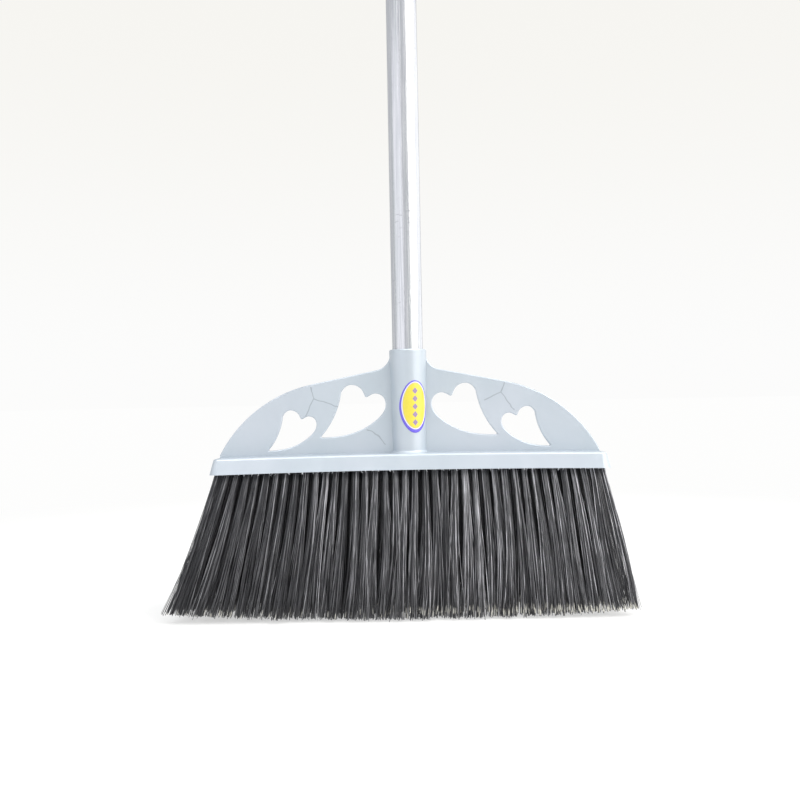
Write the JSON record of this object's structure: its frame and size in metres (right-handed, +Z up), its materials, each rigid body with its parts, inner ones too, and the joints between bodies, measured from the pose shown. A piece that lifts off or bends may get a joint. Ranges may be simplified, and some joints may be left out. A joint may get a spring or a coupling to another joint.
{
  "type": "household broom",
  "caption": "Upright household broom: flared tufted head under a fan plate with heart cut-outs, and a film-covered round handle that screws into its socket.",
  "frame": {"origin": "on the floor, under the handle's axis, at the middle of the bristle field", "axes": "+Z up along the handle; +X along the head; the sticker's side faces -Y"},
  "size_m": [0.3322, 0.0708, 1.2188],
  "materials": {
    "head_plastic": "silver-grey moulded polypropylene, satin",
    "bristle": "black polypropylene filament",
    "anchor_steel": "bare strip",
    "ferrule_plastic": "moulded, satin",
    "tube_steel": "rolled strip",
    "handle_film": "silver film, glossy, slightly creased",
    "label_paper": "coated oval sticker, yellow in a violet-blue ring",
    "plug_plastic": "moulded, satin",
    "pin_plastic": "moulded, satin"
  },
  "bodies": {
    "head": {"head_moulding": "head_plastic", "socket_label": "label_paper", "tuft_row_1": "bristle", "tuft_row_2": "bristle", "tuft_row_3": "bristle", "tuft_row_4": "bristle", "tuft_row_5": "bristle", "tuft_anchors_1": "anchor_steel", "tuft_anchors_2": "anchor_steel", "tuft_anchors_3": "anchor_steel", "tuft_anchors_4": "anchor_steel", "tuft_anchors_5": "anchor_steel"},
    "pin": {"hanger_pin": "pin_plastic"},
    "handle": {"threaded_ferrule": "ferrule_plastic", "handle_tube": "tube_steel", "handle_film": "handle_film", "top_plug": "plug_plastic"},
    "eye": {"hanger_loop": "plug_plastic"}
  },
  "joints": [
    {"name": "handle_lift", "type": "slide", "parent": "head", "child": "pin", "axis": [0, 0, 1], "range_m": [0, 0.025]},
    {"name": "handle_turn", "type": "hinge", "parent": "pin", "child": "handle", "pos_m": [0, 0, 0.6811], "axis": [0, 0, 1], "range_deg": [0, 1800]},
    {"name": "eye_swivel", "type": "hinge", "parent": "pin", "child": "eye", "pos_m": [0, 0, 1.1923], "axis": [0, 0, 1], "continuous": true}
  ],
  "couplings": [
    {"joint": "handle_turn", "follows": "handle_lift", "rad_per_m": 1256.6}
  ]
}
